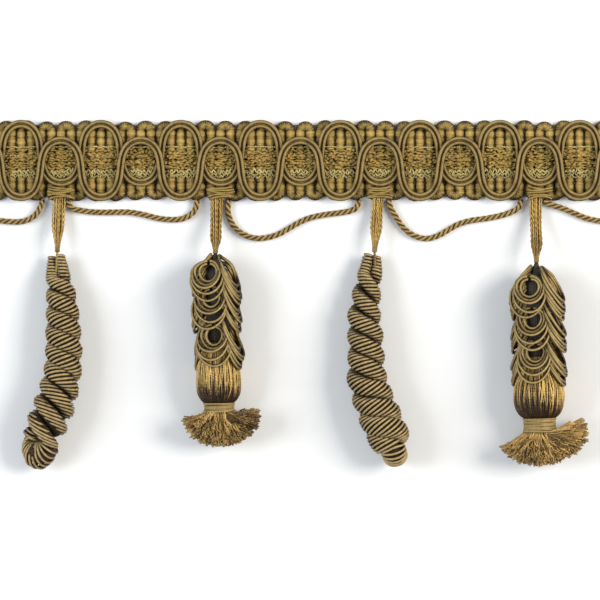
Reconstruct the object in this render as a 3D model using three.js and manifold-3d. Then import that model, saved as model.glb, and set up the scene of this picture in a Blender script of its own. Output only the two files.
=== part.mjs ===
// Tassel fringe trim, a cut length lying face up on a flat surface. A woven gimp heading carries a
// swagged twisted cord and four tassels: two twisted drops of coiled gimp and two looped tassels
// with a cut ruff. X runs along the heading, Y up the trim and Z out of its face.
// The origin is the middle of the heading's back. All sizes are in millimetres.

import * as THREE from "three";
import { mergeVertices } from "three/addons/utils/BufferGeometryUtils.js";
import Module from "manifold-3d";

const wasm = await Module();
wasm.setup();

// Driving dimensions
const CIRCLE_PITCH = 25;
const REPEATS = 8;
const TRIM_LENGTH = CIRCLE_PITCH * REPEATS;
const HEADING_HEIGHT = 25.6;
const GIMP_DIAMETER = 1.15;
const SWAG_DIAMETER = 1.9;
const CLEARANCE = 0.3;

// The woven ground of the heading: ribs up the band that turn back in a picot at each edge
const RIBS_A_REPEAT = 8;
const RIB_PITCH = CIRCLE_PITCH / RIBS_A_REPEAT;
const RIB_TOP = 2.0;
const RIB_VALLEY = 1.45;
const PICOT_DEPTH = 0.55;
const EDGE_ROUND = 0.35;

// The two pairs of gimp cord that cross in ovals and small circles
const PAIR_HALF_WIDTH = 1.3;
const PAIR_SHOULDER = 0.7;
const PAIR_GROOVE = 0.5;
const WAVE_FULLNESS = 1.5;
const WAVE_LEAN = 0.1;
const STEPS_A_REPEAT = 16;
const LOW_WAVE = { circleY: -6.8, ovalY: 11.6 };
const HIGH_WAVE = { circleY: 6.4, ovalY: -11.35 };
const CROSSING = { riseFrom: 8, riseFull: 42, fallFrom: 108, fallTo: 146 };

// The wrapped tie that holds each tassel and the ends of the swags on the heading's lower edge
const TIE = { halfLength: 4.1, top: -8.5, bottom: -11.5, thickness: 1.5, wraps: 3, groove: 0.35 };

// Where each tassel hangs: the root on the heading, and the top of what hangs there
const TASSELS = [
  { number: 1, kind: "twist", tieX: -75, rootX: -76.0, headX: -76.2, headY: -27.6, headZ: 3.4, taperFrom: 0.1 },
  { number: 2, kind: "looped", tieX: -25, rootX: -26.4, headX: -26.6, headY: -29.0, headZ: 6.9, taperFrom: 0.7 },
  { number: 3, kind: "twist", tieX: 25, rootX: 24.5, headX: 22.7, headY: -28.2, headZ: 3.2, taperFrom: 0.1 },
  { number: 4, kind: "looped", tieX: 75, rootX: 73.6, headX: 73.8, headY: -31.8, headZ: 7.6, taperFrom: 0.7 },
];

// The hank of floss between the tie and a tassel, from its top to its pinched lower end
const HANGER = { topHalfWidth: 2.05, endHalfWidth: 0.95, thickness: 1.3, steps: 5, sides: 10, flute: 0.82 };

// Each twisted drop: the line of its axis, and half the width of the two coils lying side by side
const TWIST_DROPS = {
  1: [
    { x: -76.3, y: -27.9, half: 3.1 },
    { x: -76.0, y: -31.7, half: 3.6 },
    { x: -75.8, y: -35.8, half: 4.0 },
    { x: -75.1, y: -40.5, half: 4.7 },
    { x: -74.4, y: -46.7, half: 5.3 },
    { x: -74.1, y: -53.0, half: 5.7 },
    { x: -73.8, y: -59.3, half: 5.9 },
    { x: -74.1, y: -64.9, half: 5.8 },
    { x: -75.2, y: -70.0, half: 5.8 },
    { x: -76.8, y: -74.7, half: 5.9 },
    { x: -78.4, y: -79.1, half: 5.8 },
    { x: -79.9, y: -83.4, half: 5.7 },
    { x: -81.0, y: -87.8, half: 5.5 },
    { x: -81.3, y: -91.8, half: 5.2 },
    { x: -80.7, y: -95.0, half: 3.9 },
    { x: -80.2, y: -97.0, half: 1.8 },
  ],
  3: [
    { x: 22.5, y: -28.5, half: 2.9 },
    { x: 22.2, y: -32.6, half: 3.5 },
    { x: 21.4, y: -37.6, half: 4.4 },
    { x: 20.7, y: -42.0, half: 4.8 },
    { x: 20.0, y: -49.3, half: 5.5 },
    { x: 20.5, y: -56.0, half: 5.9 },
    { x: 20.7, y: -62.2, half: 6.1 },
    { x: 21.1, y: -68.4, half: 6.3 },
    { x: 23.0, y: -74.0, half: 6.4 },
    { x: 25.2, y: -79.7, half: 6.4 },
    { x: 27.2, y: -84.9, half: 6.3 },
    { x: 29.0, y: -89.7, half: 5.9 },
    { x: 30.1, y: -93.3, half: 4.1 },
    { x: 30.8, y: -95.8, half: 1.9 },
  ],
};
const TWIST = {
  1: { straight: 8.0, halfTurn: 5.75 },
  3: { straight: 6.8, halfTurn: 6.65 },
};
const TWIST_SECTION = { stepDegrees: 36, sides: 10, lobeRadius: 0.53 };

// Each looped tassel: stations along its axis, measured from its top
const LOOPED_TASSELS = {
  2: {
    endX: -25.3, endY: -79.0, axisZ: 6.9, mouldTop: 27.4, mouldWidest: 41.3, mouldEnd: 46.4,
    mouldRadius: 6.85, neckRadius: 4.9, neckEnd: 49.7, leanDegrees: 11, tiers: [0.9, 8.9, 20.7],
    fullness: [0.42, 0.72, 0.93, 0.99],
  },
  4: {
    endX: 74.9, endY: -85.2, axisZ: 7.8, mouldTop: 29.4, mouldWidest: 41.5, mouldEnd: 48.4,
    mouldRadius: 7.8, neckRadius: 5.2, neckEnd: 53.1, leanDegrees: 15, tiers: [2.4, 12.6, 23.0],
    fullness: [0.42, 0.6, 0.79, 0.95],
  },
};
const CORE = { topRadius: 1.8, radius: 3.2, shoulder: 1.1, sides: 10 };
// Each tier of a column has up to three nested loops, the longer ones lower and further in
const LOOPS = [
  { step: 0, length: 12.0, halfWidth: 4.0, tilt: 33 },
  { step: 1.05, length: 12.7, halfWidth: 4.2, tilt: 27.5 },
  { step: 2.1, length: 13.3, halfWidth: 4.4, tilt: 22 },
];
const LOOP = { rootHalf: 0.8, sides: 3, segments: 7, radius: 0.52 };
const LOOP_COLUMNS = [
  { degrees: -28, loops: 3 },
  { degrees: 62, loops: 2 },
  { degrees: 152, loops: 1 },
  { degrees: -118, loops: 2 },
];
// Slivers left where loops or locks join are cleared up to this size.
const JOIN_TOLERANCE = 0.05;
const LATHE_SIDES = 14;
const RUFF = {
  locks: 44, sides: 3, rootRadius: 3.5, lockRadius: 0.62, tipRadius: 0.85, fanDegrees: 77,
  depthDegrees: 27, length: 10.9, sideLength: 1.9, bend: 0.42, collar: 1.5,
};
const GOLDEN_DEGREES = 137.508;
const FLOOR_CLEAR = 0.05;

// Routes of the swagged cord, from where each length leaves the heading to where it goes back in.
// The last two are the tails that were cut with the trim.
const SWAGS = {
  swag_1: [
    [-73.1, -13.1, 1.1], [-72.6, -14.0, 1.0], [-71.4, -15.0, 1.0], [-68.6, -15.6, 1.0], [-63.8, -16.1, 1.0],
    [-58.5, -16.1, 1.0], [-53.6, -16.1, 1.0], [-49.4, -16.8, 1.0], [-45.0, -17.9, 1.0], [-41.0, -18.4, 1.0],
    [-37.2, -18.2, 1.0], [-34.6, -17.0, 1.0], [-33.0, -15.2, 1.0], [-32.3, -13.1, 1.1],
  ],
  swag_2: [
    [-22.6, -13.1, 1.1], [-22.6, -16.4, 1.0], [-21.4, -19.6, 1.0], [-19.2, -22.1, 1.0], [-16.3, -23.7, 1.0],
    [-13.1, -24.3, 1.0], [-9.9, -23.9, 1.0], [-6.7, -22.9, 1.0], [-3.8, -21.3, 1.0], [-0.7, -19.5, 1.0],
    [2.9, -17.9, 1.0], [8.1, -16.8, 1.0], [12.1, -16.3, 1.0], [15.6, -15.7, 1.0], [17.5, -14.7, 1.0],
    [18.3, -13.1, 1.1],
  ],
  swag_3: [
    [27.8, -13.1, 1.1], [28.5, -15.0, 1.0], [30.3, -18.1, 1.0], [32.3, -20.9, 1.0], [34.7, -22.9, 1.0],
    [37.5, -24.1, 1.0], [40.3, -24.3, 1.0], [43.5, -23.3, 1.0], [46.3, -21.7, 1.0], [49.5, -19.9, 1.0],
    [53.5, -18.7, 1.0], [58.5, -18.0, 1.0], [63.0, -17.1, 1.0], [66.5, -15.9, 1.0], [68.4, -14.6, 1.0],
    [69.0, -13.1, 1.1],
  ],
  swag_tail_left: [
    [-81.0, -13.1, 1.1], [-81.4, -14.1, 1.0], [-82.6, -16.4, 1.0], [-84.6, -18.1, 1.0], [-87.4, -19.0, 1.0],
    [-90.2, -19.1, 1.0], [-94.2, -18.7, 1.0], [-99.6, -17.9, 1.0],
  ],
  swag_tail_right: [
    [77.4, -13.1, 1.1], [79.6, -14.0, 1.0], [83.3, -15.3, 1.0], [86.9, -16.9, 1.0], [90.1, -18.1, 1.0],
    [93.7, -18.8, 1.0], [99.6, -19.5, 1.0],
  ],
};
const ROPE = { plies: 3, stepDegrees: 40, pitch: 5.6 };

const COLOURS = {
  ground: 0x8f7340,
  gimp: 0xa38a5c,
  cord: 0x96763f,
  floss: 0xb08a46,
  ruff: 0xb0905c,
};

function radians(degrees) {
  return THREE.MathUtils.degToRad(degrees);
}

function signedVolume(points, index) {
  let sum = 0;
  for (let i = 0; i < index.length; i += 3) {
    const [a, b, c] = [points[index[i]], points[index[i + 1]], points[index[i + 2]]];
    sum += a.dot(new THREE.Vector3().crossVectors(b, c));
  }
  return sum / 6;
}

// A closed solid through rings of points that have the same count, with a flat fan at each end.
// Each face between two rings is split along its shorter diagonal, so that twists stay smooth.
function loft(rings) {
  const count = rings[0].length;
  const points = rings.flat();
  const index = [];
  for (let ring = 0; ring + 1 < rings.length; ring++) {
    for (let i = 0; i < count; i++) {
      const a = ring * count + i;
      const b = ring * count + ((i + 1) % count);
      const c = b + count;
      const d = a + count;
      const straight = points[a].distanceTo(points[c]) < points[b].distanceTo(points[d]);
      index.push(...(straight ? [a, b, c, a, c, d] : [a, b, d, b, c, d]));
    }
  }
  for (const [ring, turned] of [[0, true], [rings.length - 1, false]]) {
    const middle = new THREE.Vector3();
    rings[ring].forEach((p) => middle.addScaledVector(p, 1 / count));
    const centre = points.push(middle) - 1;
    for (let i = 0; i < count; i++) {
      const a = ring * count + i;
      const b = ring * count + ((i + 1) % count);
      index.push(...(turned ? [centre, b, a] : [centre, a, b]));
    }
  }
  if (signedVolume(points, index) < 0) index.reverse();
  return new THREE.BufferGeometry().setFromPoints(points).setIndex(index);
}

function toSolid(geometry) {
  const bare = geometry.clone();
  bare.deleteAttribute("normal");
  bare.deleteAttribute("uv");
  const merged = mergeVertices(bare, 1e-4);
  return new wasm.Manifold(
    new wasm.Mesh({
      numProp: 3,
      vertProperties: merged.getAttribute("position").array,
      triVerts: new Uint32Array(merged.index.array),
    }),
  );
}

function toGeometry(joined) {
  const mesh = joined.simplify(JOIN_TOLERANCE).getMesh();
  return new THREE.BufferGeometry()
    .setAttribute("position", new THREE.BufferAttribute(mesh.vertProperties, mesh.numProp))
    .setIndex(new THREE.BufferAttribute(mesh.triVerts, 1));
}

// A strand of a few flat sides along a line of points, each with its own radius.
function strand(line, radii, sides) {
  const rings = line.map((point, i) => {
    const before = line[Math.max(i - 1, 0)];
    const after = line[Math.min(i + 1, line.length - 1)];
    const along = after.clone().sub(before).normalize();
    const aside = new THREE.Vector3(0, 0, 1).cross(along);
    if (aside.lengthSq() < 0.01) aside.set(1, 0, 0);
    aside.normalize();
    const over = along.clone().cross(aside);
    return Array.from({ length: sides }, (_, k) => {
      const turn = (2 * Math.PI * k) / sides;
      return point
        .clone()
        .addScaledVector(aside, radii[i] * Math.cos(turn))
        .addScaledVector(over, radii[i] * Math.sin(turn));
    });
  });
  return loft(rings);
}

// The heading's ground: each rib adds a valley and a flat crest to one long section.
function headingGround() {
  const halfHeight = HEADING_HEIGHT / 2;
  const section = (x, crest) => {
    const edge = halfHeight - (crest ? 0 : PICOT_DEPTH);
    const top = crest ? RIB_TOP : RIB_VALLEY;
    return [
      [-edge, 0],
      [-edge + EDGE_ROUND, top],
      [edge - EDGE_ROUND, top],
      [edge, 0],
    ].map(([y, z]) => new THREE.Vector3(x, y, z));
  };
  const rings = [];
  for (let rib = 0; rib < REPEATS * RIBS_A_REPEAT; rib++) {
    const start = -TRIM_LENGTH / 2 + rib * RIB_PITCH;
    rings.push(section(start, false));
    rings.push(section(start + RIB_PITCH * 0.28, true));
    rings.push(section(start + RIB_PITCH * 0.72, true));
  }
  rings.push(section(TRIM_LENGTH / 2, false));
  return loft(rings);
}

// A point of a gimp wave at a phase of its repeat: 0 at a small circle, pi at an oval.
function wavePoint(wave, phase) {
  const middle = (wave.circleY + wave.ovalY) / 2;
  const swing = (wave.circleY - wave.ovalY) / 2;
  const x =
    (CIRCLE_PITCH * phase) / (2 * Math.PI) + WAVE_FULLNESS * Math.sin(2 * phase) + WAVE_LEAN * Math.sin(phase);
  return new THREE.Vector2(x, middle + swing * Math.cos(phase));
}

// How far the upper wave has climbed over the lower one, from 0 to 1.
function crossingRise(phase) {
  const turn = THREE.MathUtils.euclideanModulo(THREE.MathUtils.radToDeg(phase), 360);
  const degrees = Math.min(turn, 360 - turn);
  const rise = THREE.MathUtils.smoothstep(degrees, CROSSING.riseFrom, CROSSING.riseFull);
  return rise * (1 - THREE.MathUtils.smoothstep(degrees, CROSSING.fallFrom, CROSSING.fallTo));
}

// One pair of gimp cords, side by side with a groove between them, along the whole heading.
function gimpWave(wave, climb) {
  const height = GIMP_DIAMETER;
  const profile = [
    [-PAIR_HALF_WIDTH, 0],
    [-PAIR_SHOULDER, height],
    [0, height - PAIR_GROOVE],
    [PAIR_SHOULDER, height],
    [PAIR_HALF_WIDTH, 0],
  ];
  const rings = [];
  const steps = REPEATS * STEPS_A_REPEAT;
  for (let i = 0; i <= steps; i++) {
    // The steps crowd together where the cords turn.
    const even = Math.PI * REPEATS * ((2 * i) / steps - 1);
    const phase = even - 0.22 * Math.sin(2 * even);
    const small = 0.01;
    const here = wavePoint(wave, phase);
    const along = wavePoint(wave, phase + small).sub(wavePoint(wave, phase - small)).normalize();
    const base = RIB_TOP + CLEARANCE + climb * crossingRise(phase);
    rings.push(
      profile.map(([aside, up]) => new THREE.Vector3(here.x - along.y * aside, here.y + along.x * aside, base + up)),
    );
  }
  return loft(rings);
}

// The tie: floss wrapped round the root of a tassel, a ridge for each wrap.
function tie(middleX) {
  const low = RIB_TOP + CLEARANCE;
  const high = low + TIE.thickness;
  const wrap = (TIE.top - TIE.bottom) / TIE.wraps;
  const outline = new THREE.Shape();
  outline.moveTo(TIE.top, low);
  outline.lineTo(TIE.top, high - TIE.groove);
  for (let i = 0; i < TIE.wraps; i++) {
    const start = TIE.top - i * wrap;
    outline.lineTo(start - wrap * 0.3, high);
    outline.lineTo(start - wrap * 0.7, high);
    outline.lineTo(start - wrap, high - TIE.groove);
  }
  outline.lineTo(TIE.bottom, low);
  const solid = new THREE.ExtrudeGeometry(outline, { depth: 2 * TIE.halfLength, bevelEnabled: false });
  // The outline's own X and Y become the trim's Y and Z, and its depth runs along X.
  solid.applyMatrix4(
    new THREE.Matrix4().makeBasis(
      new THREE.Vector3(0, 1, 0),
      new THREE.Vector3(0, 0, 1),
      new THREE.Vector3(1, 0, 0),
    ),
  );
  solid.translate(middleX - TIE.halfLength, 0, 0);
  return solid;
}

// The hank of floss that a tassel hangs from, fluted by its threads and pinched at its lower end.
function hanger(tassel) {
  const startY = TIE.bottom - CLEARANCE;
  const startZ = RIB_TOP + CLEARANCE + HANGER.thickness;
  const rings = [];
  for (let i = 0; i <= HANGER.steps; i++) {
    const share = i / HANGER.steps;
    const pinch = THREE.MathUtils.smoothstep(share, tassel.taperFrom, 1);
    const halfWidth = THREE.MathUtils.lerp(HANGER.topHalfWidth, HANGER.endHalfWidth, pinch);
    const halfDepth = THREE.MathUtils.lerp(HANGER.thickness, HANGER.endHalfWidth, pinch);
    const x = THREE.MathUtils.lerp(tassel.rootX, tassel.headX, share);
    const y = THREE.MathUtils.lerp(startY, tassel.headY + CLEARANCE, share);
    const z = THREE.MathUtils.lerp(startZ, tassel.headZ, THREE.MathUtils.smoothstep(share, 0.15, 1));
    rings.push(
      Array.from({ length: HANGER.sides }, (_, k) => {
        const turn = (2 * Math.PI * k) / HANGER.sides;
        const flute = k % 2 ? HANGER.flute : 1;
        return new THREE.Vector3(
          x + halfWidth * flute * Math.cos(turn),
          y,
          z + halfDepth * flute * Math.sin(turn),
        );
      }),
    );
  }
  return loft(rings);
}

// A twisted drop: two coils of gimp laid side by side, then turned round each other.
function twistDrop(rows, twist) {
  const axis = new THREE.CatmullRomCurve3(rows.map((r) => new THREE.Vector3(r.x, r.y, r.half)), false, "centripetal");
  const length = axis.getLength();
  const degreesIn = (distance) => (180 * Math.max(distance - twist.straight, 0)) / twist.halfTurn;
  const stations = [0, twist.straight / 2];
  const twistSteps = Math.ceil(degreesIn(length) / TWIST_SECTION.stepDegrees);
  for (let i = 0; i <= twistSteps; i++) {
    stations.push(THREE.MathUtils.lerp(twist.straight, length, i / twistSteps));
  }
  const lobe = TWIST_SECTION.lobeRadius;
  const rings = stations.map((distance) => {
    const share = Math.min(distance / length, 1);
    const centre = axis.getPointAt(share);
    const along = axis.getTangentAt(share);
    const aside = new THREE.Vector3(0, 0, 1).cross(along).normalize();
    const over = along.clone().cross(aside);
    // The axis stays half a width above the surface, so its height is the half width.
    const half = centre.z;
    const phase = radians(degreesIn(distance));
    return Array.from({ length: TWIST_SECTION.sides }, (_, k) => {
      const turn = (2 * Math.PI * k) / TWIST_SECTION.sides;
      const across = Math.sin(turn) * (1 - lobe);
      const reach = Math.abs(Math.cos(turn)) * (1 - lobe) + Math.sqrt(lobe * lobe - across * across);
      const point = centre
        .clone()
        .addScaledVector(aside, half * reach * Math.cos(turn - phase))
        .addScaledVector(over, half * reach * Math.sin(turn - phase));
      point.z = Math.max(point.z, 0);
      return point;
    });
  });
  return loft(rings);
}

// The frame of a looped tassel: points are given by distance down the axis, aside and outwards.
function tasselFrame(tassel, size) {
  const top = new THREE.Vector3(tassel.headX, tassel.headY, size.axisZ);
  const down = new THREE.Vector3(size.endX, size.endY, size.axisZ).sub(top).normalize();
  const front = new THREE.Vector3(0, 0, 1);
  const right = down.clone().cross(front).negate();
  return (distance, aside, out) =>
    top.clone().addScaledVector(down, distance).addScaledVector(right, aside).addScaledVector(front, out);
}

// A round piece on a tassel's axis, from pairs of distance and radius.
function turned(place, profile, sides) {
  const rings = profile.map(([distance, radius]) =>
    Array.from({ length: sides }, (_, k) => {
      const turn = (2 * Math.PI * (k + 0.5)) / sides;
      const point = place(distance, radius * Math.cos(turn), radius * Math.sin(turn));
      point.z = Math.max(point.z, 0);
      return point;
    }),
  );
  return loft(rings);
}

// The bulb of floss over its mould, which shows below the loops and narrows to the neck.
function mould(place, size) {
  const { mouldTop, mouldWidest, mouldEnd, mouldRadius, neckRadius, fullness } = size;
  const upper = mouldWidest - mouldTop;
  const lower = mouldEnd - mouldWidest;
  const profile = [
    [mouldTop, mouldRadius * fullness[0]],
    [mouldTop + upper * 0.25, mouldRadius * fullness[1]],
    [mouldTop + upper * 0.5, mouldRadius * fullness[2]],
    [mouldTop + upper * 0.78, mouldRadius * fullness[3]],
    [mouldWidest, mouldRadius],
    [mouldWidest + lower * 0.5, mouldRadius * 0.96],
    [mouldWidest + lower * 0.82, mouldRadius * 0.84],
    [mouldEnd, neckRadius],
  ];
  return turned(place, profile, LATHE_SIDES);
}

// The binding round the neck, wound in three turns.
function neckBinding(place, size) {
  const start = size.mouldEnd + CLEARANCE;
  const turns = 3;
  const wide = (size.neckEnd - start) / turns;
  const profile = [[start, size.neckRadius - 0.35]];
  for (let i = 0; i < turns; i++) {
    profile.push([start + wide * (i + 0.5), size.neckRadius]);
    profile.push([start + wide * (i + 1), size.neckRadius - 0.35]);
  }
  return turned(place, profile, LATHE_SIDES);
}

// One loop of gimp: it leaves the core, hangs outwards as an oval and comes back beside its start.
function loop(place, distance, degrees, size) {
  const around = radians(degrees);
  const tilt = radians(size.tilt);
  const line = Array.from({ length: LOOP.segments + 1 }, (_, i) => {
    const turn = (2 * Math.PI * i) / LOOP.segments;
    const start = i === 0 ? -LOOP.rootHalf : i === LOOP.segments ? LOOP.rootHalf : 0;
    const aside = start - size.halfWidth * Math.sin(turn);
    const hang = (size.length / 2) * (1 - Math.cos(turn));
    const out = CORE.radius - LOOP.radius + hang * Math.sin(tilt);
    const down = distance + hang * Math.cos(tilt);
    const point = place(
      down,
      out * Math.sin(around) + aside * Math.cos(around),
      out * Math.cos(around) - aside * Math.sin(around),
    );
    point.z = Math.max(point.z, LOOP.radius + FLOOR_CLEAR);
    return point;
  });
  return strand(line, line.map(() => LOOP.radius), LOOP.sides);
}

// The looped head of a tassel: a floss-covered core with columns of gimp loops rooted in it.
function loopedHead(place, size) {
  const coreEnd = size.mouldTop - CLEARANCE;
  const core = turned(
    place,
    [
      [0, CORE.topRadius],
      [CORE.shoulder, CORE.radius],
      [coreEnd, CORE.radius],
    ],
    CORE.sides,
  );
  let solid = toSolid(core);
  for (const column of LOOP_COLUMNS) {
    for (const tier of size.tiers) {
      for (const nested of LOOPS.slice(0, column.loops)) {
        solid = solid.add(toSolid(loop(place, tier + nested.step, column.degrees, nested)));
      }
    }
  }
  return toGeometry(solid);
}

// The cut ruff below the neck: locks that spread into a fan, flattened by the surface below.
function ruff(place, size) {
  const start = size.neckEnd + CLEARANCE;
  let solid = toSolid(
    turned(place, [[start, size.neckRadius - 0.4], [start + RUFF.collar, size.neckRadius]], LATHE_SIDES),
  );
  for (let i = 0; i < RUFF.locks; i++) {
    const share = Math.sqrt((i + 0.5) / RUFF.locks);
    const around = radians(i * GOLDEN_DEGREES);
    const fan = radians(size.leanDegrees + RUFF.fanDegrees * share * Math.cos(around));
    const depth = radians(RUFF.depthDegrees * share * Math.sin(around));
    const reach = RUFF.length + RUFF.sideLength * Math.abs(Math.sin(fan));
    const root = [RUFF.rootRadius * share * Math.cos(around), RUFF.rootRadius * share * Math.sin(around)];
    const tip = [reach * Math.cos(fan) * Math.cos(depth), reach * Math.sin(fan) * Math.cos(depth), reach * Math.sin(depth)];
    const line = [
      place(start + RUFF.collar * 0.4, root[0], root[1]),
      place(start + RUFF.collar + tip[0] * 0.25, root[0] + tip[1] * RUFF.bend, root[1] + tip[2] * RUFF.bend),
      place(start + tip[0], root[0] * 0.5 + tip[1], root[1] + tip[2]),
    ];
    line.forEach((p) => (p.z = Math.max(p.z, RUFF.tipRadius + FLOOR_CLEAR)));
    solid = solid.add(toSolid(strand(line, [RUFF.lockRadius * 0.8, RUFF.lockRadius, RUFF.tipRadius], RUFF.sides)));
  }
  return toGeometry(solid);
}

// A length of three-ply cord: the crest of each ply is an edge of the section, turned as it goes.
function swag(route) {
  const line = new THREE.CatmullRomCurve3(route.map((p) => new THREE.Vector3(...p)), false, "centripetal");
  const length = line.getLength();
  const steps = Math.ceil(((length / ROPE.pitch) * 360) / ROPE.stepDegrees);
  const rings = [];
  for (let i = 0; i <= steps; i++) {
    const centre = line.getPointAt(i / steps);
    const along = line.getTangentAt(i / steps);
    const aside = new THREE.Vector3(0, 0, 1).cross(along).normalize();
    const over = along.clone().cross(aside);
    const phase = radians(i * ROPE.stepDegrees);
    rings.push(
      Array.from({ length: ROPE.plies }, (_, k) => {
        const turn = (2 * Math.PI * k) / ROPE.plies - phase;
        return centre
          .clone()
          .addScaledVector(aside, (SWAG_DIAMETER / 2) * Math.cos(turn))
          .addScaledVector(over, (SWAG_DIAMETER / 2) * Math.sin(turn));
      }),
    );
  }
  return loft(rings);
}

function finish(colour, roughness) {
  return new THREE.MeshStandardMaterial({ color: colour, roughness, metalness: 0 });
}

const MATERIALS = {
  ground: finish(COLOURS.ground, 0.9),
  gimp: finish(COLOURS.gimp, 0.6),
  cord: finish(COLOURS.cord, 0.7),
  floss: finish(COLOURS.floss, 0.45),
  ruff: finish(COLOURS.ruff, 0.85),
};

const trim = new THREE.Group();

function addPiece(name, geometry, material) {
  const mesh = new THREE.Mesh(geometry, material);
  mesh.name = name;
  trim.add(mesh);
}

addPiece("heading_ground", headingGround(), MATERIALS.ground);
addPiece("gimp_wave_low", gimpWave(LOW_WAVE, 0), MATERIALS.gimp);
addPiece("gimp_wave_high", gimpWave(HIGH_WAVE, GIMP_DIAMETER + CLEARANCE), MATERIALS.gimp);
for (const [name, route] of Object.entries(SWAGS)) addPiece(name, swag(route), MATERIALS.cord);
for (const tassel of TASSELS) {
  const { number } = tassel;
  addPiece(`tie_${number}`, tie(tassel.tieX), MATERIALS.floss);
  addPiece(`hanger_${number}`, hanger(tassel), MATERIALS.floss);
  if (tassel.kind === "twist") {
    addPiece(`twist_drop_${number}`, twistDrop(TWIST_DROPS[number], TWIST[number]), MATERIALS.gimp);
    continue;
  }
  const size = LOOPED_TASSELS[number];
  const place = tasselFrame(tassel, size);
  addPiece(`looped_head_${number}`, loopedHead(place, size), MATERIALS.gimp);
  addPiece(`mould_${number}`, mould(place, size), MATERIALS.floss);
  addPiece(`neck_binding_${number}`, neckBinding(place, size), MATERIALS.floss);
  addPiece(`ruff_${number}`, ruff(place, size), MATERIALS.ruff);
}

export default trim;
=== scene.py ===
# A cut length of tassel fringe trim, lying face up on a pale table: a woven gimp heading with a
# swagged cord, two twisted drops of coiled gimp, and two looped tassels that end in a cut ruff.

import math

import bpy
import numpy as np
from mathutils import Matrix, Vector


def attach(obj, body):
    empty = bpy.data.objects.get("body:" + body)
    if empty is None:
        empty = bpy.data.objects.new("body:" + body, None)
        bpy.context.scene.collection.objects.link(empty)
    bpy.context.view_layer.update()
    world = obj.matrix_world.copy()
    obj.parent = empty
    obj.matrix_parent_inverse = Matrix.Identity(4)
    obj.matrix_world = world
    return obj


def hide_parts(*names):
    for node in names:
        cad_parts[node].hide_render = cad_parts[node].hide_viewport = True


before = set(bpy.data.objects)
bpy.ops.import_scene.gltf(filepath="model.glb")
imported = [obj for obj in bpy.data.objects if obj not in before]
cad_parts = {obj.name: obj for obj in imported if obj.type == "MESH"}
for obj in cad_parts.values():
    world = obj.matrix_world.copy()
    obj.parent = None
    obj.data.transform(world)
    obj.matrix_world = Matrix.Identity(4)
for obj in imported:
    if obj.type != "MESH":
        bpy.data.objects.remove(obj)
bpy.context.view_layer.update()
bpy.ops.object.select_all(action="DESELECT")

# Camera, light and table. The trim is seen from straight above through a long lens. A broad lamp
# stands to the upper right and a weaker, cooler one to the left. The table is plain and white.
MM = 0.001
VIEW_WIDTH = 188.2 * MM
VIEW_CENTRE = (-0.1 * MM, -43.6 * MM)
CAMERA_HEIGHT = 2.5
TABLE_GREY = 0.86
TABLE_WIDTH = 6.0
TABLE_GAP = 0.03 * MM

bpy.ops.object.camera_add(location=(*VIEW_CENTRE, CAMERA_HEIGHT), rotation=(0, 0, 0))
camera = bpy.context.object
camera.data.sensor_width = 36
camera.data.lens = 36 * CAMERA_HEIGHT / VIEW_WIDTH
camera.data.clip_start = 0.1
camera.data.clip_end = 10
bpy.context.scene.camera = camera
bpy.context.scene.view_settings.view_transform = "Standard"


def lamp(name, place, width, power, colour):
    """A square soft lamp that faces the middle of the trim."""
    bpy.ops.object.light_add(type="AREA", location=place)
    light = bpy.context.object
    light.name = name
    light.data.shape = "SQUARE"
    light.data.size = width
    light.data.energy = power
    light.data.color = colour
    aim = Vector((*VIEW_CENTRE, 0)) - Vector(place)
    light.rotation_euler = aim.to_track_quat("-Z", "Y").to_euler()


lamp("key_lamp", (1.20, 0.22, 0.92), 0.85, 25.0, (1.0, 0.97, 0.90))
lamp("fill_lamp", (-1.10, 0.06, 0.80), 0.80, 15.0, (0.88, 0.94, 1.0))

world = bpy.data.worlds.new("room")
bpy.context.scene.world = world
world.use_nodes = True
world.node_tree.nodes["Background"].inputs["Color"].default_value = (0.97, 0.985, 1.0, 1)
world.node_tree.nodes["Background"].inputs["Strength"].default_value = 0.385


class Value:
    """A socket of a finish. A sum written on it adds Math nodes to that finish."""

    def __init__(self, finish, socket):
        self.finish = finish
        self.socket = socket

    def __add__(self, other):
        return self.finish.maths("ADD", self, other)

    __radd__ = __add__

    def __sub__(self, other):
        return self.finish.maths("SUBTRACT", self, other)

    def __rsub__(self, other):
        return self.finish.maths("SUBTRACT", other, self)

    def __mul__(self, other):
        return self.finish.maths("MULTIPLY", self, other)

    __rmul__ = __mul__

    def __truediv__(self, other):
        return self.finish.maths("DIVIDE", self, other)

    def __abs__(self):
        return self.finish.maths("ABSOLUTE", self)


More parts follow.
